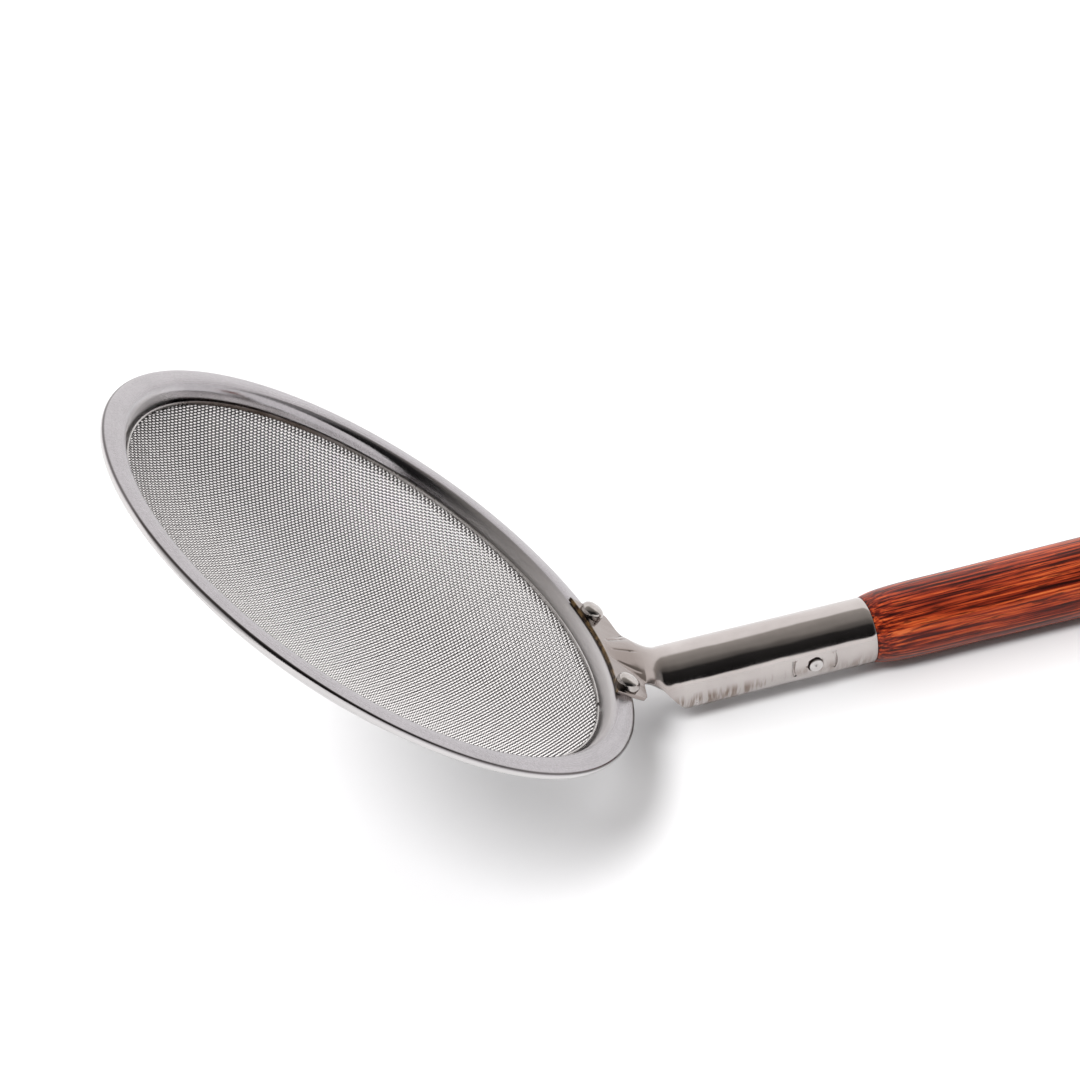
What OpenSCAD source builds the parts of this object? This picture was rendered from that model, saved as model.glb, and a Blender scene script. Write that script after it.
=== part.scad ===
// Round fine-mesh tea strainer: a pressed steel rim ring holds a dished disc of
// woven wire cloth, and a rolled sheet socket, riveted to the rim, carries a
// turned wooden handle. The handle lies flat along +X with its thickest point on
// Z = 0, and the head tilts up from it towards -X.

/* [Rim ring] */
// Outer radius of the rim
rim_r = 75; // [55:0.5:95]
// Thickness of the rim sheet
rim_t = 0.8; // [0.5:0.1:1.2]
// Radius where the flat flange rolls over into the inner wall
bore_r = 69; // [48:0.1:88]
// Depth of the turned-down outer lip
lip_h = 1.9; // [1.2:0.1:3]
// Depth of the inner wall, from the flange down to the foot
wall_h = 5.4; // [3:0.1:9]

/* [Wire cloth] */
// Thickness over the wire crossings
cloth_t = 0.5; // [0.3:0.05:1]
// Depth of the dish below its clamped edge
dish_d = 8; // [3:0.1:14]
// Exponent of the dish curve, 2 is a paraboloid
dish_e = 2.5; // [2:0.1:4]
// Height of the band that holds the cloth against the wall
band_h = 1.2; // [1:0.1:3]
// Thickness of that band
band_t = 0.5; // [0.4:0.1:1.2]
// Gap between the two ends of the band
band_gap = 1.5; // [0.5:0.1:4]

/* [Handle socket] */
// Angle that the handle makes with the plane of the rim
handle_angle = 39.5; // [20:0.5:60]
// Thickness of the socket sheet
sheet_t = 1; // [0.8:0.1:1.5]
// Outer radius of the rolled tube
tube_r = 9; // [7:0.1:12]
// Distance along the handle axis from the rim's edge to the tube's open end
tube_end = 78; // [60:0.5:100]
// Half width of the neck where it leaves the rim
neck_w = 10.2; // [8:0.1:14]
// Width of the seam under the tube
seam_w = 0.6; // [0.2:0.1:2]

/* [Rivets and pin] */
// Distance of each rivet from the rim's centre
rivet_at = 72.3; // [60:0.1:80]
// Sideways distance of each rivet from the handle's plane
rivet_y = 15.8; // [8:0.1:24]
// Radius of the rivet heads
rivet_r = 3.2; // [2.4:0.1:4]
// Height of the rivet heads
rivet_h = 2.7; // [1:0.1:4]
// Radius of the pin that locks the wood in the tube
pin_r = 1.9; // [1:0.1:3]
// Distance along the handle axis from the rim's edge to the pin
pin_at = 60; // [40:0.5:70]

/* [Wooden handle] */
// Greatest radius of the wood
wood_r = 10.8; // [9:0.1:14]
// Distance along the handle axis from the rim's edge to the butt
wood_end = 270; // [180:1:320]
// Length of the tenon inside the tube
tenon_l = 36; // [20:1:50]
// Radius of the hanging hole
hang_r = 3; // [2:0.1:4]
// Distance of the hanging hole from the butt
hang_in = 16; // [10:0.5:30]

/* [Hidden] */

steel = [0.78, 0.78, 0.79];
polished = [0.72, 0.71, 0.70];
cloth_grey = [0.62, 0.62, 0.63];
lacquer = [0.55, 0.2, 0.09];

seat_z = 0.2;                       // top of the flange, where the socket plate sits
axis_drop = 14;                     // the handle axis crosses x = rim_r this far down
foot_z = -wall_h;                   // height of the foot's upper face
cloth_r = bore_r - 2.1;             // edge of the cloth
plate_in = rim_r - 6.2;             // front edge of the socket plate
plate_turn = 17.5;                  // half of the angle that this edge spans
shank_r = 1.5;                      // radius of the rivet shanks
eps = 0.01;
ring_fn = 180;
tube_fn = 72;

// Where the head's own frame lands: x runs along the handle from the rim's edge,
// and the whole part is centred on X
head_back = (0.25 - 2 * rim_r) * cos(handle_angle) + (axis_drop - lip_h) * sin(handle_angle);
x_mid = (wood_end + head_back) / 2;

// Unit normal of a segment, and the mitred offset at a vertex of a chain
function seg_n(a, b) = let (d = b - a) [d[1], -d[0]] / norm(d);
function miter(p, i) =
    let (
        n0 = seg_n(p[max(i - 1, 0)], p[max(i, 1)]),
        n1 = seg_n(p[min(i, len(p) - 2)], p[min(i + 1, len(p) - 1)])
    )
    (n0 + n1) / (1 + n0 * n1);
// Closed outline of a sheet of thickness t that follows a chain of points
function sheet(p, t) = concat(p, [for (i = [len(p) - 1:-1:0]) p[i] + t * miter(p, i)]);
// Points of an arc, from angle a0 to a1
function arc(c, r, a0, a1, n) =
    [for (i = [0:n]) let (a = a0 + (a1 - a0) * i / n) c + r * [cos(a), sin(a)]];
// Height of the cloth's upper face at a radius
function dish_z(r) =
    foot_z + cloth_t - dish_d * (1 - pow(min(r / (cloth_r - 1.5), 1), dish_e));

// Moves the rim's own frame to its place: centre of the flange, +Z out of the dish
module in_head() {
    translate([-x_mid, 0, wood_r])
        rotate([0, handle_angle, 0])
            translate([-rim_r, 0, axis_drop])
                children();
}

// Moves the handle's own frame to its place: +X along the handle, from the rim's edge
module in_handle() {
    translate([-x_mid, 0, wood_r])
        children();
}

// Solid of revolution about the handle axis, from [distance, radius] points
module turned(points, fn = tube_fn) {
    rotate([90, 0, 90])
        rotate_extrude($fn = fn)
            polygon([for (p = points) [p[1], p[0]]]);
}

// ---- head ----

// Outer lip, slightly crowned flange, rolled inner edge, wall and foot, in one sheet
rim_line = concat(
    [[bore_r - 3.6, foot_z - 0.1], [bore_r - 2.4, foot_z]],
    [[bore_r - 1.7, foot_z + 0.55], [bore_r - 1.4, foot_z + 1.4]],
    [[bore_r - 0.9, -1.9]],
    arc([bore_r + 0.9, -1.2], 1.3, 160, 95, 6),
    [[rim_r - 4.5, seat_z], [rim_r - 2.2, 0.08]],
    arc([rim_r - 0.9, -0.9], 0.9, 85, 0, 6),
    [[rim_r, -lip_h + 0.5], [rim_r - 0.25, -lip_h]]
);

module rim_ring() {
    color(steel)
        in_head()
            difference() {
                rotate_extrude($fn = ring_fn)
                    polygon(sheet(rim_line, rim_t));
                for (s = [-1, 1])
                    translate([sqrt(pow(rivet_at, 2) - pow(rivet_y, 2)), s * rivet_y, -3])
                        cylinder(r = shank_r, h = 6, $fn = 32);
            }
}

// The cloth as a thin dished sheet that covers both faces of the weave
cloth_steps = 14;
cloth_line = [
    for (i = [0:cloth_steps])
        let (r = (cloth_r - 0.2) * i / cloth_steps)
        [r, dish_z(r)]
];

module wire_cloth() {
    color(cloth_grey)
        in_head()
            rotate_extrude($fn = ring_fn)
                polygon(concat(
                    cloth_line,
                    [for (i = [cloth_steps:-1:0]) cloth_line[i] - [0, cloth_t]]
                ));
}

// Split band pressed in above the edge of the cloth
band_turn = -19;

module mesh_band() {
    color(polished)
        in_head()
            rotate([0, 0, band_turn + band_gap / 2])
                rotate_extrude(angle = 360 - band_gap, $fn = ring_fn)
                    translate([cloth_r - band_t - 0.15, foot_z + cloth_t])
                        square([band_t, band_h]);
}

// ---- socket ----

// Outline of the plate that lies on the flange, mirrored about the handle's plane
plate_side = [
    [rim_r + 0.9, 18.8],
    [rim_r + 1.5, 18.1],
    [rim_r + 2.2, 15.8],
    [rim_r + 2.9, 13],
    [rim_r + 3.7, 11.2],
    [rim_r + 4.6, neck_w],
    [rim_r + 5.4, neck_w - 0.6]
];

module plate() {
    front = arc([0, 0], plate_in, -plate_turn, plate_turn, 20);
    side_b = [for (p = plate_side) [p[0], -p[1]]];
    back = [for (i = [len(plate_side) - 1:-1:0]) plate_side[i]];
    translate([0, 0, seat_z])
        linear_extrude(height = sheet_t)
            polygon(concat(
                [for (i = [len(front) - 1:-1:0]) front[i]],
                side_b,
                back
            ));
}

// The tube's front edge is cut on a slant: far forward on top, back underneath
cut_tilt = 34;
cut_s = 18.1;
cut_w = 3.4;

module behind_cut(back = 0) {
    translate([cut_s + back, 0, cut_w])
        rotate([0, -cut_tilt, 0])
            translate([0, -30, -40])
                cube([120, 60, 80]);
}

module tube_wall() {
    difference() {
        turned([
            [6, 0], [6, tube_r], [tube_end - 0.25, tube_r],
            [tube_end, tube_r - 0.25], [tube_end, 0]
        ]);
        turned([[5, 0], [5, tube_r - sheet_t], [tube_end + 1, tube_r - sheet_t], [tube_end + 1, 0]]);
    }
}

// A slice of a rod on the slant of the cut, above the free edge of the sheet
module cut_slice(r, deep, low) {
    intersection() {
        turned([[6, 0], [6, r], [40, r], [40, 0]], 40);
        behind_cut(0.1);
        difference() {
            translate([0, -30, cut_w - low])
                cube([40, 60, 20]);
            behind_cut(deep);
        }
    }
}

// Brings the handle's frame into the head's frame
module handle_in_head() {
    translate([rim_r, 0, -axis_drop])
        rotate([0, -handle_angle, 0])
            children();
}

// Flared sheet between the flat plate and the tube
module neck_outer() {
    hull() {
        translate([rim_r + 3.4, -neck_w + 0.05, seat_z + 0.03])
            cube([0.8, 2 * neck_w - 0.1, sheet_t - 0.06]);
        handle_in_head()
            cut_slice(tube_r - 0.06, 0.8, 2.4);
    }
}

module neck_inner() {
    hull() {
        translate([rim_r + 2.9, 1.1 - neck_w, seat_z - 1.9])
            cube([0.8, 2 * neck_w - 2.2, sheet_t]);
        handle_in_head()
            cut_slice(tube_r - sheet_t + 0.06, 2, 4);
    }
}

// Pressed rib between the rivets, that widens towards the tube
module rib(lower) {
    hull() {
        translate([plate_in + 0.4 - lower, 0, -2.6])
            rotate([0, 90, 0])
                cylinder(r = 4 - lower * 0.9, h = 0.6, $fn = 32);
        translate([rim_r + 7.6, 0, -4.95])
            rotate([0, 90, 0])
                cylinder(r = 9.2 - lower * 0.9, h = 0.8, $fn = 48);
    }
}

// Two arc marks pressed into the tube, either side of the pin
module stake_marks() {
    for (a = [0, 180])
        translate([pin_at, -tube_r + 0.3, 0])
            rotate([90, a, 0])
                rotate([0, 0, -26])
                    rotate_extrude(angle = 52, $fn = 96)
                        translate([5.7, 0])
                            square([0.7, 3]);
}

module handle_socket() {
    color(polished)
        difference() {
            union() {
                in_head()
                    difference() {
                        union() {
                            difference() {
                                union() {
                                    plate();
                                    intersection() {
                                        rib(0);
                                        translate([plate_in + 0.3, -12, seat_z + 0.3])
                                            cube([20, 24, 6]);
                                    }
                                }
                                rib(1);
                            }
                            difference() {
                                neck_outer();
                                neck_inner();
                            }
                        }
                        for (s = [-1, 1])
                            translate([sqrt(pow(rivet_at, 2) - pow(rivet_y, 2)), s * rivet_y, -2])
                                cylinder(r = shank_r, h = 6, $fn = 32);
                    }
                in_handle()
                    intersection() {
                        tube_wall();
                        behind_cut();
                    }
            }
            in_handle() {
                translate([10, -seam_w / 2, -tube_r - 1])
                    cube([tube_end, seam_w, 3]);
                translate([pin_at, 0, 0])
                    rotate([90, 0, 0])
                        cylinder(r = pin_r + 0.3, h = 3 * tube_r, center = true, $fn = 48);
                stake_marks();
            }
        }
}

// ---- rivets, pin and handle ----

// Domed head on the plate, shank through both sheets, low tail under the flange
module rivet(side) {
    top = seat_z + sheet_t;
    tail_z = seat_z - rim_t - 0.05;
    color(polished)
        in_head()
            translate([sqrt(pow(rivet_at, 2) - pow(rivet_y, 2)), side * rivet_y, 0])
                rotate_extrude($fn = 48)
                    polygon(concat(
                        [[0, tail_z - 0.9], [1.25, tail_z - 0.9], [1.65, tail_z - 0.45], [1.65, tail_z]],
                        [[shank_r, tail_z], [shank_r, top], [rivet_r, top]],
                        [[rivet_r, top + 1.1]],
                        arc([rivet_r - 1.6, top + 1.1], 1.6, 10, 80, 6),
                        [[0, top + rivet_h]]
                    ));
}

module rivet_far() {
    rivet(1);
}

module rivet_near() {
    rivet(-1);
}

// Pin across the tube, a little proud of it, with eased ends
module handle_pin() {
    l = tube_r + 0.35;
    color(steel)
        in_handle()
            translate([pin_at, 0, 0])
                rotate([90, 0, 0])
                    rotate_extrude($fn = 48)
                        polygon([
                            [0, -l], [pin_r - 0.4, -l], [pin_r, -l + 0.35],
                            [pin_r, l - 0.35], [pin_r - 0.4, l], [0, l]
                        ]);
}

// Turned grip: shoulder at the tube, slow swell to a full belly, slight waist, rounded butt
wood_line = concat(
    [
        [tube_end, tube_r - sheet_t], [tube_end, tube_r - 0.1], [tube_end + 0.6, tube_r + 0.2],
        [tube_end + 4, tube_r + 0.8], [tube_end + 9, tube_r + 1.2], [tube_end + 16, wood_r - 0.45],
        [tube_end + 26, wood_r - 0.42], [tube_end + 38, wood_r - 0.3], [tube_end + 60, wood_r - 0.06],
        [tube_end + 75, wood_r], [tube_end + 98, wood_r - 0.12], [tube_end + 125, wood_r - 0.38],
        [tube_end + 148, wood_r - 0.38], [wood_end - 24, wood_r - 0.15], [wood_end - 12, wood_r - 0.04]
    ],
    arc([wood_end - 7, wood_r - 7], 7, 82, 6, 8),
    [[wood_end, 0]]
);

module wood_handle() {
    color(lacquer)
        in_handle()
            difference() {
                turned(concat(
                    [
                        [tube_end - tenon_l, 0],
                        [tube_end - tenon_l, tube_r - sheet_t - 1],
                        [tube_end - tenon_l + 1, tube_r - sheet_t]
                    ],
                    wood_line
                ));
                translate([pin_at, 0, 0])
                    rotate([90, 0, 0])
                        cylinder(r = pin_r, h = 3 * wood_r, center = true, $fn = 48);
                translate([wood_end - hang_in, 0, 0])
                    rotate([90, 0, 0])
                        cylinder(r = hang_r, h = 3 * wood_r, center = true, $fn = 48);
            }
}

rim_ring();
wire_cloth();
mesh_band();
handle_socket();
rivet_far();
rivet_near();
handle_pin();
wood_handle();
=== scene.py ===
import math

import bmesh
import bpy
import numpy as np
from mathutils import Matrix, Vector


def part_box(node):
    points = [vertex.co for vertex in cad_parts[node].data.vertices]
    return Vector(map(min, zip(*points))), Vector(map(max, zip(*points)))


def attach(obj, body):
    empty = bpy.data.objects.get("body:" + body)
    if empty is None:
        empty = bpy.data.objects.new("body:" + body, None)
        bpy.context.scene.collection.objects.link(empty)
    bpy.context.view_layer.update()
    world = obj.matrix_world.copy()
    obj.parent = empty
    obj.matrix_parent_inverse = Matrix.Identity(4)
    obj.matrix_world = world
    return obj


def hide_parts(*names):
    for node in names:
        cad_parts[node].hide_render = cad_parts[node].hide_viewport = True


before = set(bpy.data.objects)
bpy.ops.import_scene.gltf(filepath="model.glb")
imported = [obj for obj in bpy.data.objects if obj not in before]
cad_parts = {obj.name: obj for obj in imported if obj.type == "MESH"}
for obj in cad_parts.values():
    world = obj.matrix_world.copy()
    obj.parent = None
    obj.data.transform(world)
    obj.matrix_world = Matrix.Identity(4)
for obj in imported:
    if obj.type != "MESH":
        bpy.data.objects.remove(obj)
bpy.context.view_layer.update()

MM = 0.001

# ---- sizes of the pieces, in millimetres; most are those of the CAD nodes ----
RIM_R = 75.0
RIM_T = 0.8
BORE_R = 69.0
LIP_H = 1.9
FOOT_Z = -5.4
SEAT_Z = 0.2
CLOTH_T = 0.5
CLOTH_R = BORE_R - 2.1
DISH_D = 8.0
DISH_E = 2.5
DISH_EDGE = 1.5
BAND_H = 1.2
BAND_T = 0.5
BAND_GAP = 1.5
BAND_TURN = -19.0
BAND_CLEAR = 0.15
BAND_EASE = 0.16
TILT = math.radians(39.5)
AXIS_DROP = 14.0
SHEET_T = 1.0
PLATE_IN = RIM_R - 6.2
TUBE_R = 9.0
TUBE_END = 78.0
RIVET_AT = 72.3
RIVET_Y = 15.8
RIVET_R = 3.2
RIVET_H = 2.7
SHANK_R = 1.5
PIN_R = 1.9
PIN_AT = 60.0
PIN_HOLE_R = 2.12
# pressed arcs on both sides of the pin: half their angle, inner and outer radius, depth
ARC_HALF = 26.0
ARC_R = (5.75, 6.35)
ARC_DEPTH = 0.62
WOOD_R = 10.8
WOOD_END = 270.0
HANG_R = 3.0
HANG_IN = 16.0

# the wall and the band are painted light towards both ends of the head, a painted reflection, between
# these places in row x, in metres
FAR_END = (-0.165, -0.182)
WALL_NEAR_END = (-0.110, -0.092)
BAND_NEAR_END = (-0.135, -0.105)

# ---- frames ----
wood_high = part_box("wood_handle")[1]
pin_low, pin_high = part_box("handle_pin")
AXIS_X = wood_high.x / MM - WOOD_END
AXIS_Z = (pin_low.z + pin_high.z) / 2 / MM
COS, SIN = math.cos(TILT), math.sin(TILT)
HEAD_ROT = np.array([[COS, 0, SIN], [0, 1, 0], [-SIN, 0, COS]])
A0 = np.array([RIM_R, 0.0, -AXIS_DROP])


def head(points):
    """Points in the rim's own frame, in millimetres, to the row frame in metres."""
    p = (np.asarray(points, float) - A0) @ HEAD_ROT.T
    return (p + np.array([AXIS_X, 0, AXIS_Z])) * MM


def handle(points):
    """Points in the handle's own frame, in millimetres, to the row frame in metres."""
    return (np.asarray(points, float) + np.array([AXIS_X, 0, AXIS_Z])) * MM


def handle_to_head(points):
    return np.asarray(points, float) @ HEAD_ROT + A0


# ---- mesh helpers ----
def linked(name, data):
    """A new object in the scene."""
    obj = bpy.data.objects.new(name, data)
    bpy.context.scene.collection.objects.link(obj)
    return obj


def build(name, verts, faces, material, smooth=True, flow=None):
    mesh = bpy.data.meshes.new(name)
    mesh.from_pydata([tuple(v) for v in verts], [], [tuple(f) for f in faces])
    mesh.update()
    if smooth:
        mesh.polygons.foreach_set("use_smooth", [True] * len(mesh.polygons))
    if flow is not None:
        a = mesh.attributes.new("flow", "FLOAT_VECTOR", "POINT")
        a.data.foreach_set("vector", np.asarray(flow, np.float32).ravel())
    obj = linked(name, mesh)
    obj.data.materials.append(material)
    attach(obj, "root")
    return obj


def grid_faces(rows, cols, close_rows=False, close_cols=False):
    faces = []
    for i in range(rows if close_rows else rows - 1):
        for j in range(cols if close_cols else cols - 1):
            i2, j2 = (i + 1) % rows, (j + 1) % cols
            faces.append((i * cols + j, i * cols + j2, i2 * cols + j2, i2 * cols + j))
    return faces


def smooth_chain(points, per):
    """Catmull-Rom curve through an open chain of 2-D points."""
    p = np.asarray(points, float)
    n = len(p)
    out = []
    for i in range(n - 1):
        b, c = p[i], p[i + 1]
        a = p[i - 1] if i > 0 else 2 * b - c
        d = p[i + 2] if i + 2 < n else 2 * c - b
        for k in range(per):
            t = k / per
            out.append(
                0.5 * ((2 * b) + (c - a) * t + (2 * a - 5 * b + 4 * c - d) * t * t
                       + (3 * b - a - 3 * c + d) * t ** 3)
            )
    out.append(p[-1])
    return np.array(out)


def offset_chain(p, t):
    """The chain moved sideways by t, to its right as it runs."""
    d = np.gradient(p, axis=0)
    d /= np.linalg.norm(d, axis=1)[:, None]
    return p + t * np.stack([d[:, 1], -d[:, 0]], 1)


def ring_mesh(name, outline, place, material, segs, a0=0.0, a1=360.0, smooth=True):
    """Turns a closed outline of (radius, height) points about the place's own Z axis."""
    o = np.asarray(outline, float)
    m = len(o)
    full = a1 - a0 >= 359.999
    count = segs if full else segs + 1
    ang = np.radians(a0 + (a1 - a0) * np.arange(count) / segs)
    step = np.concatenate([[0], np.cumsum(np.linalg.norm(np.diff(o, axis=0), axis=1))])
    v = np.empty((count, m, 3))
    v[:, :, 0] = np.cos(ang)[:, None] * o[None, :, 0]
    v[:, :, 1] = np.sin(ang)[:, None] * o[None, :, 0]
    v[:, :, 2] = o[None, :, 1]
    fl = np.empty((count, m, 3))
    fl[:, :, 0] = np.cos(ang)[:, None] * 30
    fl[:, :, 1] = np.sin(ang)[:, None] * 30
    fl[:, :, 2] = step[None, :]
    faces = grid_faces(count, m, close_rows=full, close_cols=True)
    if not full:
        faces.append(tuple(range(m - 1, -1, -1)))
        faces.append(tuple((count - 1) * m + j for j in range(m)))
    return build(name, place(v.reshape(-1, 3)), faces, material, smooth, fl.reshape(-1, 3))


def turned_mesh(name, line, place, material, segs):
    """Turns a chain of (distance, radius) points about the handle axis; ends on the axis close."""
    p = np.asarray(line, float)
    keep = p[p[:, 1] > 1e-6]
    ang = 2 * math.pi * np.arange(segs) / segs
    n = len(keep)
    v = np.empty((n, segs, 3))
    v[:, :, 0] = keep[:, 0][:, None]
    v[:, :, 1] = keep[:, 1][:, None] * np.cos(ang)[None]
    v[:, :, 2] = keep[:, 1][:, None] * np.sin(ang)[None]
    verts = v.reshape(-1, 3)
    faces = [tuple(reversed(f)) for f in grid_faces(n, segs, close_cols=True)]
    ends = [[p[0, 0], 0, 0], [p[-1, 0], 0, 0]]
    verts = np.concatenate([verts, ends])
    a, b = n * segs, n * segs + 1
    for j in range(segs):
        k = (j + 1) % segs
        faces.append((a, j, k))
        faces.append((b, (n - 1) * segs + k, (n - 1) * segs + j))
    return build(name, place(verts), faces, material)


def smoothstep(x):
    x = np.clip(x, 0, 1)
    return x * x * (3 - 2 * x)


# ---- node helpers ----
class Nodes:
    def __init__(self, name):
        self.mat = bpy.data.materials.new(name)
        self.mat.use_nodes = True
        self.tree = self.mat.node_tree
        self.tree.nodes.clear()
        self.out = self.add("ShaderNodeOutputMaterial")
        self.bsdf = self.add("ShaderNodeBsdfPrincipled")
        self.link(self.bsdf.outputs[0], self.out.inputs[0])

    def add(self, kind, **props):
        node = self.tree.nodes.new(kind)
        for k, v in props.items():
            setattr(node, k, v)
        return node

    def link(self, a, b):
        self.tree.links.new(a, b)

    def put(self, socket, value):
        if isinstance(value, bpy.types.NodeSocket):
            self.link(value, socket)
        else:
            socket.default_value = value

    def coords(self):
        return self.add("ShaderNodeTexCoord").outputs["Object"]

    def flow(self):
        return self.add("ShaderNodeAttribute", attribute_name="flow").outputs["Vector"]

    def mapped(self, vector, scale, loc=(0, 0, 0)):
        m = self.add("ShaderNodeMapping")
        self.link(vector, m.inputs["Vector"])
        m.inputs["Scale"].default_value = scale
        m.inputs["Location"].default_value = loc
        return m.outputs[0]

    def noise(self, vector, scale, detail=3.0, rough=0.5, distort=0.0):
        n = self.add("ShaderNodeTexNoise")
        self.link(vector, n.inputs["Vector"])
        n.inputs["Scale"].default_value = scale
        n.inputs["Detail"].default_value = detail
        n.inputs["Roughness"].default_value = rough
        n.inputs["Distortion"].default_value = distort
        return n.outputs["Fac"]

    def ramp(self, fac, stops):
        r = self.add("ShaderNodeValToRGB")
        self.link(fac, r.inputs[0])
        e = r.color_ramp.elements
        while len(e) < len(stops):
            e.new(0.5)
        for i, (pos, col) in enumerate(stops):
            e[i].position = pos
            e[i].color = (*col, 1)
        return r.outputs[0]

    def mix(self, fac, a, b, blend="MIX"):
        m = self.add("ShaderNodeMix", data_type="RGBA", blend_type=blend)
        self.put(m.inputs[0], fac)
        self.put(m.inputs[6], a if isinstance(a, bpy.types.NodeSocket) else (*a, 1))
        self.put(m.inputs[7], b if isinstance(b, bpy.types.NodeSocket) else (*b, 1))
        return m.outputs[2]

    def math(self, op, a, b=None):
        m = self.add("ShaderNodeMath", operation=op)
        for i, v in enumerate((a, b)):
            if v is not None:
                self.put(m.inputs[i], v)
        return m.outputs[0]

    def remap(self, v, a, b, c, d):
        m = self.add("ShaderNodeMapRange")
        self.put(m.inputs[0], v)
        for i, x in enumerate((a, b, c, d)):
            m.inputs[i + 1].default_value = x
        return m.outputs[0]

    def split(self, vector):
        s = self.add("ShaderNodeSeparateXYZ")
        self.link(vector, s.inputs[0])
        return s.outputs

    def bump(self, height, strength, distance, normal=None):
        b = self.add("ShaderNodeBump")
        b.inputs["Strength"].default_value = strength
        b.inputs["Distance"].default_value = distance
        self.link(height, b.inputs["Height"])
        if normal is not None:
            self.link(normal, b.inputs["Normal"])
        return b.outputs[0]

    def set(self, **values):
        for k, v in values.items():
            self.put(self.bsdf.inputs[k.replace("_", " ")], v)


def rim_steel(run):
    """Steel of the rim; run is the length of its profile, from the foot to the lip."""
    n = Nodes("rim_steel")
    flow = n.flow()
    lines = n.noise(n.mapped(flow, (0.10, 0.10, 9.0)), 1.0, 4.0, 0.65)
    grain = n.noise(n.coords(), 1500.0, 2.0, 0.6)
    patch = n.noise(n.coords(), 60.0, 3.0, 0.6)
    tone = n.ramp(patch, [(0.25, (0.34, 0.325, 0.335)), (0.8, (0.41, 0.39, 0.405))])
    specks = n.ramp(grain, [(0.35, (0.28, 0.27, 0.275)), (0.65, (0.49, 0.47, 0.485))])
    tone = n.mix(0.22, tone, specks)
    # along the profile: the inner wall and the outer corner are smoother than the flange, and the lip is
    # painted lighter, a painted reflection; the wall is painted lighter towards the ends of the head, a
    # painted reflection, and rougher there
    along = n.split(flow)[2]
    wall = n.remap(along, 6.0, 7.6, 1.0, 0.0)
    x = n.split(n.coords())[0]
    far_end = n.remap(x, *FAR_END, 0.0, 1.0)
    near_end = n.remap(x, *WALL_NEAR_END, 0.0, 1.0)
    ends = n.math("MULTIPLY", n.math("MAXIMUM", far_end, near_end), wall)
    corner = n.remap(along, run - 3.4, run - 2.4, 0.0, 1.0)
    lip = n.remap(along, run - 1.5, run - 1.0, 0.0, 0.8)
    # painted reflections: the lip and the ends of the wall are painted lighter
    tone = n.mix(lip, tone, (0.66, 0.645, 0.64))
    tone = n.mix(n.math("MULTIPLY", ends, 0.7), tone, (0.70, 0.68, 0.675))
    # a faint dark ring on the flange, painted shade, and a dark line where it rolls over, a painted dark
    # reflection
    painted_ring = n.remap(n.math("ABSOLUTE", n.math("SUBTRACT", along, run - 7.0)), 0.0, 1.5, 0.16, 0.0)
    tone = n.mix(painted_ring, tone, (0.16, 0.14, 0.15))
    edge = n.remap(n.math("ABSOLUTE", n.math("SUBTRACT", along, run - 1.75)), 0.1, 0.42, 0.85, 0.0)
    tone = n.mix(edge, tone, (0.06, 0.052, 0.05))
    h = n.math("ADD", n.math("MULTIPLY", lines, 0.6), n.math("MULTIPLY", grain, 0.4))
    smoother = n.math("MULTIPLY", n.math("MAXIMUM", wall, corner), 0.13)
    smoother = n.math("SUBTRACT", smoother, n.math("MULTIPLY", ends, 0.42))
    n.set(
        Base_Color=tone,
        Metallic=1.0,
        Roughness=n.math("SUBTRACT", n.remap(lines, 0.3, 0.7, 0.20, 0.30), smoother),
        Normal=n.bump(h, 0.10, 0.0002),
    )
    return n.mat


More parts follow.
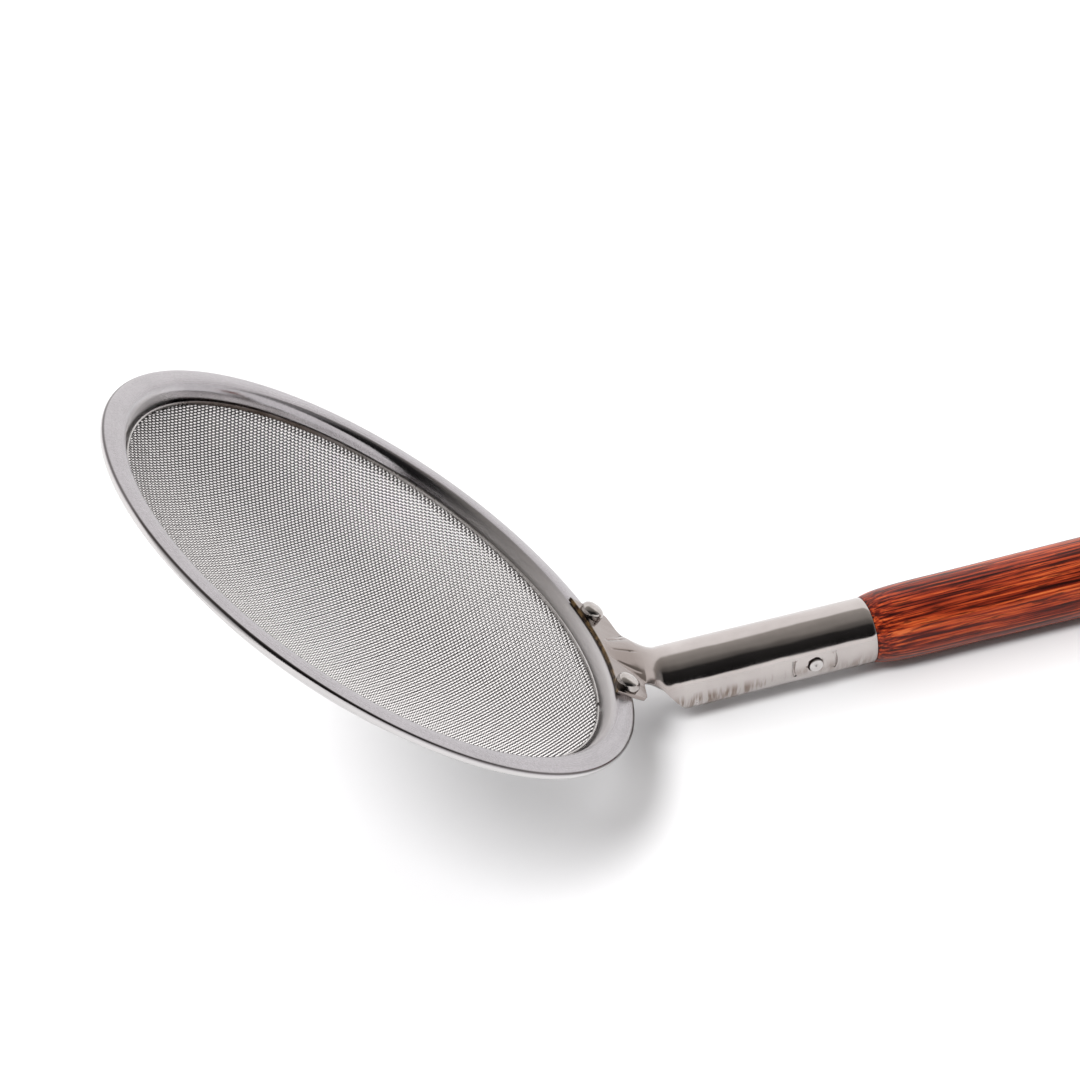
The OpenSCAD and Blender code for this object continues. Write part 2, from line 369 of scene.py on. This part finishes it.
def socket_steel():
    n = Nodes("socket_steel")
    co = n.coords()
    x, y, z = n.split(co)[0:3]
    # grinding marks across the tube, on its lower side
    across = n.noise(n.mapped(co, (900, 60, 60)), 1.0, 4.0, 0.6)
    low = n.remap(z, (AXIS_Z + 0.8) * MM, (AXIS_Z - 1.8) * MM, 0.0, 1.0)
    scratch = n.noise(n.mapped(co, (60, 900, 900)), 1.0, 3.0, 0.6)
    cloud = n.noise(co, 90.0, 3.0, 0.55)
    tone = n.ramp(cloud, [(0.2, (0.43, 0.395, 0.38)), (0.8, (0.53, 0.495, 0.48))])
    # painted shade: the plate and the start of the neck are darker, fading out towards the tube
    neck_shade = n.remap(x, (AXIS_X + 12) * MM, (AXIS_X + 24) * MM, 1.0, 0.0)
    tone = n.mix(neck_shade, tone, (0.57, 0.53, 0.51), "MULTIPLY")
    marks = n.math("MULTIPLY", across, low)
    # brown traces left between the grinding marks
    lines = n.noise(n.mapped(co, (620, 70, 70), (1, 2, 3)), 1.0, 3.0, 0.65)
    lines = n.remap(lines, 0.46, 0.58, 0.0, 1.0)
    where = n.remap(n.noise(n.mapped(co, (45, 60, 60)), 1.0, 2.0, 0.5), 0.36, 0.54, 0.0, 0.9)
    traces = n.math("MULTIPLY", n.math("MULTIPLY", lines, where), low)
    tone = n.mix(traces, tone, (0.20, 0.145, 0.115))
    wavy = n.noise(n.mapped(co, (45, 110, 110), (4, 1, 2)), 1.0, 2.0, 0.5)
    h = n.math("ADD", marks, n.math("MULTIPLY", scratch, 0.12))
    # the plate's front edge is brown
    xr = n.math("SUBTRACT", x, AXIS_X * MM)
    zr = n.math("SUBTRACT", z, AXIS_Z * MM)
    xh = n.math("SUBTRACT", n.math("MULTIPLY", xr, COS), n.math("MULTIPLY", zr, SIN))
    xh = n.math("ADD", xh, RIM_R * MM)
    rh = n.math("POWER", n.math("ADD", n.math("MULTIPLY", xh, xh), n.math("MULTIPLY", y, y)), 0.5)
    front = n.remap(rh, (PLATE_IN + 0.15) * MM, (PLATE_IN + 0.55) * MM, 1.0, 0.0)
    brown = [(0.38, (0.035, 0.022, 0.014)), (0.66, (0.20, 0.13, 0.06))]
    tone = n.mix(front, tone, n.ramp(n.noise(co, 420.0, 3.0, 0.6), brown))
    rough = n.remap(cloud, 0.2, 0.8, 0.10, 0.17)
    n.set(
        Base_Color=tone,
        Metallic=1.0,
        Roughness=n.math("ADD", rough, n.math("MULTIPLY", low, 0.12)),
        Normal=n.bump(h, 0.22, 0.0002, n.bump(wavy, 0.5, 0.0006)),
    )
    return n.mat


def plain_steel(name, dark, light, rough_a, rough_b, scale, bump):
    n = Nodes(name)
    co = n.coords()
    cloud = n.noise(co, scale, 3.0, 0.6)
    fine = n.noise(co, scale * 9, 3.0, 0.6)
    n.set(
        Base_Color=n.ramp(cloud, [(0.25, dark), (0.75, light)]),
        Metallic=1.0,
        Roughness=n.remap(fine, 0.3, 0.7, rough_a, rough_b),
        Normal=n.bump(n.math("ADD", cloud, n.math("MULTIPLY", fine, 0.5)), bump, 0.0003),
    )
    return n.mat


def band_steel():
    """Dark brown along the sides of the head, and painted light at its two ends, a painted reflection."""
    n = Nodes("band_steel")
    co = n.coords()
    cloud = n.noise(co, 160.0, 3.0, 0.6)
    dull = n.ramp(cloud, [(0.3, (0.05, 0.036, 0.028)), (0.7, (0.13, 0.11, 0.10))])
    light = n.ramp(cloud, [(0.3, (0.40, 0.385, 0.375)), (0.7, (0.56, 0.545, 0.535))])
    x = n.split(co)[0]
    near_end = n.remap(x, *BAND_NEAR_END, 0.0, 1.0)
    far_end = n.remap(x, *FAR_END, 0.0, 1.0)
    # painted reflection: the band is light towards both ends of the head
    n.set(
        Base_Color=n.mix(n.math("MAXIMUM", near_end, far_end), dull, light),
        Metallic=1.0,
        Roughness=n.remap(cloud, 0.3, 0.7, 0.20, 0.32),
        Normal=n.bump(cloud, 0.1, 0.0002),
    )
    return n.mat


def cloth_steel():
    """Painted highlights on the crowns and painted shade on the flanks, by place on the wire; only a
    tenth of the shader is metallic.
    """
    n = Nodes("cloth_steel")
    crown = n.add("ShaderNodeAttribute", attribute_name="crown").outputs["Fac"]
    fine = n.noise(n.coords(), 2500.0, 2.0, 0.6)
    tone = n.ramp(crown, [(0.40, (0.022, 0.018, 0.019)), (0.49, (1.0, 0.975, 0.97))])
    specks = n.ramp(fine, [(0.3, (0.2, 0.2, 0.2)), (0.7, (0.8, 0.8, 0.8))])
    n.set(
        Base_Color=n.mix(0.06, tone, specks),
        Metallic=0.1,
        Specular_IOR_Level=0.3,
        Roughness=n.remap(crown, 0.3, 0.8, 0.45, 0.22),
        Normal=n.bump(fine, 0.1, 0.0001),
    )
    return n.mat


def lacquered_wood():
    n = Nodes("lacquered_wood")
    co = n.coords()
    streak = n.noise(n.mapped(co, (26, 1150, 1150)), 1.0, 4.0, 0.62, 0.15)
    broad = n.noise(n.mapped(co, (4, 300, 300), (3, 7, 1)), 1.0, 3.0, 0.55, 0.3)
    pores = n.noise(n.mapped(co, (130, 2100, 2100)), 1.0, 2.0, 0.6)
    mixed = n.math("ADD", n.math("MULTIPLY", streak, 0.66), n.math("MULTIPLY", broad, 0.34))
    col = n.ramp(mixed, [
        (0.41, (0.014, 0.002, 0.002)),
        (0.47, (0.085, 0.008, 0.004)),
        (0.52, (0.23, 0.025, 0.008)),
        (0.58, (0.43, 0.067, 0.016)),
        (0.67, (0.60, 0.15, 0.042)),
    ])
    col = n.mix(n.remap(pores, 0.54, 0.64, 0.0, 0.75), col, (0.02, 0.005, 0.003))
    # painted shade: darker along the lower side, a darker copy of the grain, broken up by the broad noise
    z = n.split(co)[2]
    low_side_shade = n.math("MULTIPLY", n.remap(z, (AXIS_Z - 1.5) * MM, (AXIS_Z - 4.5) * MM, 0.0, 1.0),
                  n.remap(broad, 0.40, 0.56, 0.95, 0.25))
    shaded_grain = n.ramp(streak, [(0.40, (0.012, 0.005, 0.005)), (0.64, (0.11, 0.045, 0.034))])
    col = n.mix(low_side_shade, col, shaded_grain)
    n.set(
        Base_Color=col,
        Roughness=n.remap(streak, 0.3, 0.7, 0.30, 0.42),
        Normal=n.bump(streak, 0.12, 0.0003),
        Specular_IOR_Level=0.12,
        Coat_Weight=0.15,
        Coat_Roughness=0.05,
        Coat_IOR=1.45,
    )
    return n.mat


def floor_paper():
    n = Nodes("floor_paper")
    co = n.coords()
    cloud = n.noise(co, 3.0, 3.0, 0.5)
    n.set(
        Base_Color=n.ramp(cloud, [(0.3, (0.80, 0.80, 0.81)), (0.7, (0.82, 0.82, 0.83))]),
        Roughness=0.6,
        Normal=n.bump(n.noise(co, 900.0, 2.0, 0.5), 0.03, 0.0002),
    )
    return n.mat


rim_top = smooth_chain([
    (BORE_R - 3.6, FOOT_Z - 0.1), (BORE_R - 2.4, FOOT_Z), (BORE_R - 1.7, FOOT_Z + 0.5),
    (BORE_R - 1.35, FOOT_Z + 1.5), (BORE_R - 0.95, -2.1), (BORE_R - 0.5, -1.0),
    (BORE_R + 0.35, -0.15), (BORE_R + 1.5, 0.13), (RIM_R - 3.2, SEAT_Z), (RIM_R - 2.0, 0.15),
    (RIM_R - 0.8, 0.06), (RIM_R - 0.22, -0.16), (RIM_R, -0.62), (RIM_R, -LIP_H + 0.5),
    (RIM_R - 0.2, -LIP_H + 0.05),
], 6)
STEEL = rim_steel(float(np.linalg.norm(np.diff(rim_top, axis=0), axis=1).sum()))
SOCKET = socket_steel()
CLOTH = cloth_steel()
BAND = band_steel()
RIVET = plain_steel("rivet_steel", (0.34, 0.315, 0.30), (0.50, 0.47, 0.45), 0.07, 0.13, 500.0, 0.12)
PIN = plain_steel("pin_steel", (0.50, 0.475, 0.465), (0.62, 0.60, 0.59), 0.25, 0.36, 700.0, 0.1)
WOOD = lacquered_wood()

# ---- rim ring ----
rim_under = offset_chain(rim_top, RIM_T)
rim_outline = np.concatenate([rim_top, rim_under[::-1]])
rim = ring_mesh("rim", rim_outline, head, STEEL, 288)
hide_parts("rim_ring")

# ---- retaining band ----
lo, hi = CLOTH_R - BAND_T - BAND_CLEAR, CLOTH_R - BAND_CLEAR
z0, z1 = FOOT_Z + CLOTH_T, FOOT_Z + CLOTH_T + BAND_H
e = BAND_EASE
band_outline = [
    (lo, z0 + e), (lo + e, z0), (hi - e, z0), (hi, z0 + e),
    (hi, z1 - e), (hi - e * 0.4, z1 - e * 0.4), (hi - e, z1),
    (lo + e, z1), (lo + e * 0.4, z1 - e * 0.4), (lo, z1 - e),
]
band = ring_mesh("band", band_outline, head, BAND, 270,
                 BAND_TURN + BAND_GAP / 2, BAND_TURN + 360 - BAND_GAP / 2, smooth=False)
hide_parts("mesh_band")


# ---- woven cloth ----
WARP_PITCH, WEFT_PITCH = 0.78, 0.92
WIRE_D = 0.42
# a wire's section is a square on its corner, enlarged to about the girth of a round wire
WIRE_CORNER = WIRE_D / 2 * 1.12
WIRE_SECTION = np.array([(1, 0), (0, 1), (-1, 0), (0, -1)]) * WIRE_CORNER
WARP_TURN, WEFT_TURN = 45.3, 135.0
WIRE_STEPS = 2
WARP_CRIMP, WEFT_CRIMP = 0.50, 0.40
# strength of the painted highlights on each family's crowns; the weft's are painted weaker than the
# warp's
WARP_SHINE, WEFT_SHINE = 1.0, 0.57
# painted light added to each side of a wire, a painted highlight on the top and painted shade on the
# bottom: one side, the top, the other side, the bottom
FACE_SHINE = np.array([0.0, 0.3, 0.0, -0.1])
WIRE_SEED = 7
CLOTH_EDGE = 0.3


def dish_z(r):
    rr = np.minimum(r / (CLOTH_R - DISH_EDGE), 1)
    return FOOT_Z + CLOTH_T / 2 + WIRE_D / 2 - DISH_D * (1 - rr ** DISH_E)


def weave(name, turn, pitch, cross_pitch, over, crimp, shine, first, last):
    """Wires of one family, each a bent rod that passes over and under the other family."""
    reach = CLOTH_R - CLOTH_EDGE
    a = math.radians(turn)
    along = np.array([math.cos(a), math.sin(a)])
    aside = np.array([-math.sin(a), math.cos(a)])
    verts, faces, crown, base = [], [], [], 0
    rng = np.random.default_rng(WIRE_SEED + over)
    for k in range(first, last):
        off = k * pitch
        half = math.sqrt(reach ** 2 - off ** 2)
        jmax = int(half / cross_pitch)
        if jmax < 1:
            continue
        j = np.arange(-jmax * WIRE_STEPS, jmax * WIRE_STEPS + 1) / WIRE_STEPS
        t = j * cross_pitch
        sway = rng.normal(0, 0.012) + 0.02 * np.sin(t / 17.0 + rng.uniform(0, 6))
        xy = t[:, None] * along + (off + sway)[:, None] * aside
        wave = np.cos(math.pi * (j + k + over))
        z = dish_z(np.hypot(xy[:, 0], xy[:, 1])) + wave * WIRE_D * crimp
        p = np.column_stack([xy, z])
        d = np.gradient(p, axis=0)
        d /= np.linalg.norm(d, axis=1)[:, None]
        side = np.tile(np.append(aside, 0.0), (len(p), 1))
        up = np.cross(d, side)
        ring = (p[:, None, :] + WIRE_SECTION[None, :, :1] * side[:, None, :]
                + WIRE_SECTION[None, :, 1:] * up[:, None, :])
        verts.append(ring.reshape(-1, 3))
        # painted highlight where the wire passes over, painted shade where it passes under, plus the
        # painted light of each side
        crown.append(shine * ((0.5 + 0.5 * wave)[:, None] * 0.7 + FACE_SHINE[None, :]))
        n = len(p)
        faces.append((np.array(grid_faces(n, 4, close_cols=True)) + base)[:, ::-1])
        faces.append(base + np.array([(0, 1, 2, 3), tuple((n - 1) * 4 + q for q in (3, 2, 1, 0))]))
        base += 4 * n
    obj = build(name, head(np.concatenate(verts)), np.concatenate(faces), CLOTH)
    c = obj.data.attributes.new("crown", "FLOAT", "POINT")
    c.data.foreach_set("value", np.concatenate([x.ravel() for x in crown]).astype(np.float32))
    return obj


def family(name, turn, pitch, cross_pitch, over, crimp, shine):
    """One family of parallel wires, in two halves."""
    count = int((CLOTH_R - CLOTH_EDGE) / pitch)
    settings = (turn, pitch, cross_pitch, over, crimp, shine)
    return [weave(name + "_a", *settings, -count, 0), weave(name + "_b", *settings, 0, count + 1)]


warps = family("cloth_warp", WARP_TURN, WARP_PITCH, WEFT_PITCH, 0, WARP_CRIMP, WARP_SHINE)
wefts = family("cloth_weft", WEFT_TURN, WEFT_PITCH, WARP_PITCH, 1, WEFT_CRIMP, WEFT_SHINE)
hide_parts("wire_cloth")
# only the warp casts a shadow, which keeps the shadow under the cloth lighter
for piece in wefts:
    piece.visible_shadow = False


# ---- socket: one sheet, from the plate through the neck to the rolled tube ----
COLS = 144
V = np.linspace(-1, 1, COLS + 1)
PLATE_TURN = math.radians(17.5)
PLATE_TOP = SEAT_Z + SHEET_T
NECK_X = 79.3
NECK_Y = 10.4
RIDGE_X = 69.8
RIDGE_SLOPE = 0.272
CUT_S, CUT_W, CUT_RUN = 18.1, 3.4, 0.673
NECK_END = 23.0


def mirrored(y_half):
    """Odd extension of values given for columns 0 .. 1 of V."""
    return np.sign(V) * y_half


def ridge_height(x):
    """How far the middle of the neck stands above the plate."""
    d = x - RIDGE_X
    return RIDGE_SLOPE * 0.5 * (d + np.sqrt(d * d + 0.8))


def pressed(x, y):
    """Height of the pressed cone over the plate, flat beyond its own half width, less its creases."""
    half = np.interp(x, [68.0, RIDGE_X, 72.5, 77.0, NECK_X], [2.4, 3.6, 5.8, 8.6, NECK_Y])
    q = np.abs(y) / half
    soft = np.sqrt(q * q + 0.006)
    sharp = np.clip(1.0 - soft, 0, 1)
    arch = np.clip(1.0 - q * q, 0, 1)
    m = smoothstep((x - 71.0) / 7.0)
    fade = smoothstep((x - PLATE_IN - 0.1) / 2.2)
    run = smoothstep((x - 71.0) / 1.2) * smoothstep((79.0 - x) / 2.0)
    middle = 0.30 * np.exp(-((y / 0.30) ** 2))
    beside = 0.22 * np.exp(-(((np.abs(y) - 4.3 - 0.43 * (x - 71.1)) / 0.32) ** 2))
    return ridge_height(x) * fade * ((1 - m) * sharp + m * arch) - run * (middle + beside)


def plate_rows(count):
    """Rows of the flat plate, from its front arc to the neck, filled in from its outline."""
    a = V * PLATE_TURN
    front = np.column_stack([PLATE_IN * np.cos(a), PLATE_IN * np.sin(a)])
    back = np.column_stack([np.full_like(V, NECK_X), V * NECK_Y])
    corner = front[-1]
    side = smooth_chain([
        corner, (68.6, 20.1), (72.0, 19.35), (75.2, 18.75), (76.3, 18.2), (76.9, 17.0),
        (77.3, 15.4), (77.8, 13.2), (78.4, 11.5), (NECK_X, NECK_Y),
    ], 6)
    run = np.concatenate([[0], np.cumsum(np.linalg.norm(np.diff(side, axis=0), axis=1))])
    out = []
    for u in np.linspace(0, 1, count):
        e = np.array([np.interp(u * run[-1], run, side[:, k]) for k in (0, 1)])
        low, high = np.array([e[0], -e[1]]), e
        f = ((V + 1) / 2)[:, None]
        edge = (1 - f) * low + f * high
        arcs = (1 - u) * front + u * back
        c00, c10 = front[0], front[-1]
        c01, c11 = back[0], back[-1]
        flat = (1 - u) * ((1 - f) * c00 + f * c10) + u * ((1 - f) * c01 + f * c11)
        p = edge + arcs - flat
        out.append(np.column_stack([p, PLATE_TOP + pressed(p[:, 0], p[:, 1])]))
    return out


def tube_angle(s):
    w = CUT_W - (s - CUT_S) / CUT_RUN
    return math.acos(min(1, max(-0.9994, w / TUBE_R)))


def on_curve(a, j):
    """Catmull-Rom value at place j, counted in steps, along a chain of values."""
    last = len(a) - 1
    i = min(int(j), last - 1)
    f = j - i
    lo, hi = a[max(i - 1, 0)], a[min(i + 2, last)]
    return 0.5 * (2 * a[i] + (a[i + 1] - lo) * f
                  + (2 * lo - 5 * a[i] + 4 * a[i + 1] - hi) * f * f
                  + (3 * a[i] - lo - 3 * a[i + 1] + hi) * f ** 3)


def neck_rows(count):
    """Rows that swing from square to the plate to square to the tube."""
    ridge_z = PLATE_TOP + float(ridge_height(NECK_X))
    start = (np.array([[NECK_X, 0, ridge_z], [NECK_X, NECK_Y, PLATE_TOP]]) - A0) @ HEAD_ROT.T
    ridge = np.array([
        start[0], [16.0, 0, 10.36], [17.7, 0, 9.6], [19.4, 0, 9.13], [21.2, 0, TUBE_R],
        [NECK_END, 0, TUBE_R],
    ])
    turn = tube_angle(NECK_END)
    edge = np.array([
        start[1], [14.6, 9.5, 7.55], [16.4, 8.75, 5.6], [18.2, 8.4, 3.2],
        [20.5, TUBE_R * math.sin(tube_angle(20.5)), TUBE_R * math.cos(tube_angle(20.5))],
        [NECK_END, TUBE_R * math.sin(turn), TUBE_R * math.cos(turn)],
    ])
    spread = np.radians([14, 30, 48, 68, 90, math.degrees(turn)])
    out = []
    for u in np.linspace(0, 1, count)[1:]:
        j = u * 5
        r, e, th = on_curve(ridge, j), on_curve(edge, j), float(on_curve(spread, j))
        down = (1 - np.cos(np.abs(V) * th)) / (1 - math.cos(th))
        y = mirrored(np.sin(np.abs(V) * th) / math.sin(th)) * e[1]
        out.append(handle_to_head(np.column_stack([
            r[0] + (e[0] - r[0]) * down, y, r[2] + (e[2] - r[2]) * down])))
    return out


def tube_rows():
    # closer together where the cut edges run into the seam
    stations = np.concatenate([
        np.linspace(NECK_END + 0.3, 30.8, 22), np.linspace(32, TUBE_END - 0.3, 38), [TUBE_END],
    ])
    out = []
    for s in stations:
        r = TUBE_R - (0.25 if s == TUBE_END else 0)
        a = V * tube_angle(s)
        row = np.column_stack([np.full_like(a, s), r * np.sin(a), r * np.cos(a)])
        out.append(handle_to_head(row))
    return out


def socket_sheet():
    rows = plate_rows(44) + neck_rows(26) + tube_rows()
    faces = [tuple(reversed(f)) for f in grid_faces(len(rows), COLS + 1)]
    return np.concatenate(rows), faces


def cylinder_cutter(name, centre, axis, r, length, segs=64):
    bm = bmesh.new()
    bmesh.ops.create_cone(bm, cap_ends=True, segments=segs, radius1=r, radius2=r, depth=length)
    mesh = bpy.data.meshes.new(name)
    bm.to_mesh(mesh)
    bm.free()
    obj = linked(name, mesh)
    turn = Vector(axis).to_track_quat("Z", "Y").to_matrix().to_4x4()
    obj.matrix_world = Matrix.Translation(centre) @ turn
    return obj


def arc_cutter(name, turn, half, r0, r1, y0, y1, segs=28):
    """Bent bar about the pin's axis, from r0 to r1 and from y0 to y1, either side of a turn."""
    ang = np.radians(turn + np.linspace(-half, half, segs + 1))
    verts = []
    for a in ang:
        for r, y in ((r0, y0), (r1, y0), (r1, y1), (r0, y1)):
            verts.append((PIN_AT + r * math.cos(a), y, r * math.sin(a)))
    faces = grid_faces(segs + 1, 4, close_cols=True)
    faces += [(3, 2, 1, 0), tuple(segs * 4 + k for k in range(4))]
    mesh = bpy.data.meshes.new(name)
    mesh.from_pydata([tuple(v) for v in handle(verts)], [], faces)
    mesh.update()
    bm = bmesh.new()
    bm.from_mesh(mesh)
    bmesh.ops.recalc_face_normals(bm, faces=bm.faces)
    bm.to_mesh(mesh)
    bm.free()
    return linked(name, mesh)


def cut(obj, cutter):
    m = obj.modifiers.new("cut", "BOOLEAN")
    m.operation = "DIFFERENCE"
    m.object = cutter
    m.solver = "EXACT"
    apply_all(obj)
    bpy.data.objects.remove(cutter)


def apply_all(obj):
    deps = bpy.context.evaluated_depsgraph_get()
    mesh = bpy.data.meshes.new_from_object(obj.evaluated_get(deps))
    obj.modifiers.clear()
    old = obj.data
    obj.data = mesh
    bpy.data.meshes.remove(old)


sheet_verts, sheet_faces = socket_sheet()
socket = build("socket", head(sheet_verts), sheet_faces, SOCKET)
solid = socket.modifiers.new("sheet", "SOLIDIFY")
solid.thickness = SHEET_T * MM
solid.offset = -1
solid.use_even_offset = True
bev = socket.modifiers.new("ease", "BEVEL")
bev.width = 0.15 * MM
bev.segments = 2
bev.angle_limit = math.radians(60)
apply_all(socket)
for side in (-1, 1):
    at = handle([(PIN_AT, side * TUBE_R, 0)])[0]
    cut(socket, cylinder_cutter("cutter", at, (0, 1, 0), PIN_HOLE_R * MM, 6 * MM))
for turn in (0, 180):
    cut(socket, arc_cutter("cutter", turn, ARC_HALF, *ARC_R, -TUBE_R - 2.0, -TUBE_R + ARC_DEPTH))
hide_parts("handle_socket")

# ---- rivets ----
TOP = SEAT_Z + SHEET_T
UNDER = SEAT_Z - RIM_T - 0.05


def rivet(name, node, side):
    dome = smooth_chain([
        (RIVET_R - 0.1, TOP), (RIVET_R, TOP + 0.25), (RIVET_R, TOP + 1.05), (RIVET_R - 0.2, TOP + 1.7),
        (RIVET_R - 0.75, TOP + 2.25), (RIVET_R - 1.6, TOP + 2.56), (RIVET_R - 2.4, TOP + 2.67),
        (0.02, TOP + RIVET_H),
    ], 5)
    tail = [(0.02, UNDER - 0.9), (1.2, UNDER - 0.88), (1.6, UNDER - 0.5), (1.65, UNDER),
            (SHANK_R, UNDER), (SHANK_R, TOP)]
    outline = np.concatenate([tail, dome])
    cx = math.sqrt(RIVET_AT ** 2 - RIVET_Y ** 2)

    def place(p):
        return head(p + np.array([cx, side * RIVET_Y, 0]))

    obj = ring_mesh(name, outline, place, RIVET, 64)
    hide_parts(node)


rivet("rivet_head_far", "rivet_far", 1)
rivet("rivet_head_near", "rivet_near", -1)

# ---- pin ----
half_pin = TUBE_R + 0.35
# (radius, distance in from the pin's end), from the middle of the end to the pin's side
pin_end = [(0.01, 0.0), (PIN_R * 0.5, 0.0), (PIN_R - 0.16, 0.0), (PIN_R - 0.13, 0.005),
           (PIN_R - 0.02, 0.10), (PIN_R, 0.2)]
pin_line = [(r, d - half_pin) for r, d in pin_end] + [(r, half_pin - d) for r, d in pin_end[::-1]]
# the pin sits to one side of its slightly larger hole
PIN_SHIFT = 0.2


def pin_place(p):
    return handle(np.column_stack([p[:, 0] + PIN_AT + PIN_SHIFT, p[:, 2], -p[:, 1] - PIN_SHIFT]))


pin = ring_mesh("pin", pin_line, pin_place, PIN, 48)
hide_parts("handle_pin")

# ---- wood ----
wood_profile = smooth_chain([
    (TUBE_END + 0.05, TUBE_R - 0.35), (TUBE_END + 0.35, TUBE_R - 0.02), (TUBE_END + 1.2, TUBE_R + 0.28),
    (TUBE_END + 4, TUBE_R + 0.8), (TUBE_END + 9, TUBE_R + 1.19), (TUBE_END + 16, WOOD_R - 0.46),
    (TUBE_END + 26, WOOD_R - 0.42), (TUBE_END + 38, WOOD_R - 0.3), (TUBE_END + 60, WOOD_R - 0.07),
    (TUBE_END + 75, WOOD_R - 0.01), (TUBE_END + 98, WOOD_R - 0.12), (TUBE_END + 125, WOOD_R - 0.38),
    (TUBE_END + 148, WOOD_R - 0.38), (WOOD_END - 24, WOOD_R - 0.16), (WOOD_END - 12, WOOD_R - 0.06),
    (WOOD_END - 6, WOOD_R - 0.55), (WOOD_END - 2.4, WOOD_R - 2.4), (WOOD_END - 0.6, WOOD_R - 5.2),
    (WOOD_END, 0.6),
], 7)
TENON_L = 36.0
TENON_R = TUBE_R - SHEET_T - 0.02
tenon = np.array([
    (TUBE_END - TENON_L, 0.0), (TUBE_END - TENON_L, TUBE_R - SHEET_T - 1.0),
    (TUBE_END - TENON_L + 1.0, TENON_R), (TUBE_END, TENON_R),
])
wood_line = np.concatenate([tenon, wood_profile, [(WOOD_END, 0.0)]])
wood = turned_mesh("wood", wood_line, handle, WOOD, 128)
at = handle([(WOOD_END - HANG_IN, 0, 0)])[0]
cut(wood, cylinder_cutter("cutter", at, (0, 1, 0), HANG_R * MM, 40 * MM))
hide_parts("wood_handle")

# ---- floor ----
FLOOR_Z = -0.0002
floor_mesh = bpy.data.meshes.new("floor")
corners = [(-3, -2.5, FLOOR_Z), (3, -2.5, FLOOR_Z), (3, 3.5, FLOOR_Z), (-3, 3.5, FLOOR_Z)]
floor_mesh.from_pydata(corners, [], [(0, 1, 2, 3)])
floor = linked("floor", floor_mesh)
floor.data.materials.append(floor_paper())

# ---- light ----
WARM, PLAIN = (1.0, 0.95, 0.90), (1.0, 0.985, 0.985)
KEY_FROM = (-0.45, -0.4, 1.0)
KEY_POWER = 2.5
KEY_SPREAD = 20.0
FILL_FROM = (0.0, 0.2, 1.0)
FILL_POWER = 1.3
FILL_SPREAD = 130.0
SKY_ARCH = [
    (0.0, 1.35, PLAIN), (0.31, 1.3, PLAIN), (0.36, 0.5, WARM), (0.52, 0.36, WARM),
    (0.64, 0.16, WARM), (0.70, 0.03, PLAIN), (0.92, 0.012, PLAIN), (0.935, 1.3, PLAIN),
]
SKY_SIDES = [
    (0.0, 0.9, PLAIN), (0.10, 0.6, PLAIN), (0.20, 0.0, PLAIN), (0.84, 0.0, PLAIN), (0.97, 0.35, PLAIN),
]


def soft_sun(name, way, power, spread):
    """Light from one side, left out of reflections, so that steel mirrors only the studio sky."""
    data = bpy.data.lights.new(name, "SUN")
    data.energy = power
    data.angle = math.radians(spread)
    obj = linked(name, data)
    obj.rotation_euler = Vector(way).to_track_quat("Z", "Y").to_euler()
    obj.visible_glossy = False


soft_sun("key", KEY_FROM, KEY_POWER, KEY_SPREAD)
soft_sun("fill", FILL_FROM, FILL_POWER, FILL_SPREAD)

world = bpy.data.worlds.new("studio")
bpy.context.scene.world = world
world.use_nodes = True
wt = world.node_tree
bg = wt.nodes["Background"]


def studio_sky():
    """Bright backdrop behind the object, dim ceiling, dark wall before it with a bright foot."""
    def node(kind, **props):
        n = wt.nodes.new(kind)
        for k, v in props.items():
            setattr(n, k, v)
        return n

    def calc(op, a, b=None):
        m = node("ShaderNodeMath", operation=op)
        for i, v in enumerate((a, b)):
            if isinstance(v, bpy.types.NodeSocket):
                wt.links.new(v, m.inputs[i])
            elif v is not None:
                m.inputs[i].default_value = v
        return m.outputs[0]

    def ramp(fac, stops):
        r = node("ShaderNodeValToRGB")
        wt.links.new(fac, r.inputs[0])
        r.color_ramp.interpolation = "EASE"
        e = r.color_ramp.elements
        while len(e) < len(stops):
            e.new(0.5)
        for i, (pos, level, tint) in enumerate(stops):
            e[i].position = pos
            e[i].color = (*(level * c for c in tint), 1)
        return r.outputs[0]

    way = node("ShaderNodeSeparateXYZ")
    wt.links.new(node("ShaderNodeTexCoord").outputs["Generated"], way.inputs[0])
    x, y, z = way.outputs[0:3]
    # 0 at the horizon behind the object, 0.5 overhead, 1 at the horizon before it
    over = calc("DIVIDE", calc("ARCTAN2", calc("MAXIMUM", z, 0.0), y), math.pi)
    arch = ramp(over, SKY_ARCH)
    side = ramp(calc("MULTIPLY", calc("ADD", x, 1.0), 0.5), SKY_SIDES)
    m = node("ShaderNodeMix", data_type="RGBA", blend_type="LIGHTEN")
    m.inputs[0].default_value = 1.0
    wt.links.new(arch, m.inputs[6])
    wt.links.new(side, m.inputs[7])
    wt.links.new(m.outputs[2], bg.inputs["Color"])
    bg.inputs["Strength"].default_value = 1.0


studio_sky()

# ---- camera ----
CAM_AT = Vector((-0.18515, -0.42350, 0.37535))
CAM_TO = Vector((-0.09225, -0.00975, 0.07145))
CAM_ROLL = math.radians(-5.49)
cam_data = bpy.data.cameras.new("camera")
cam_data.lens = 71.96
cam_data.sensor_width = 36
cam_data.clip_start = 0.01
camera = linked("camera", cam_data)
aim = (CAM_TO - CAM_AT).to_track_quat("-Z", "Y").to_matrix().to_4x4()
camera.matrix_world = Matrix.Translation(CAM_AT) @ aim @ Matrix.Rotation(CAM_ROLL, 4, "Z")
bpy.context.scene.camera = camera
bpy.context.scene.view_settings.view_transform = "Standard"
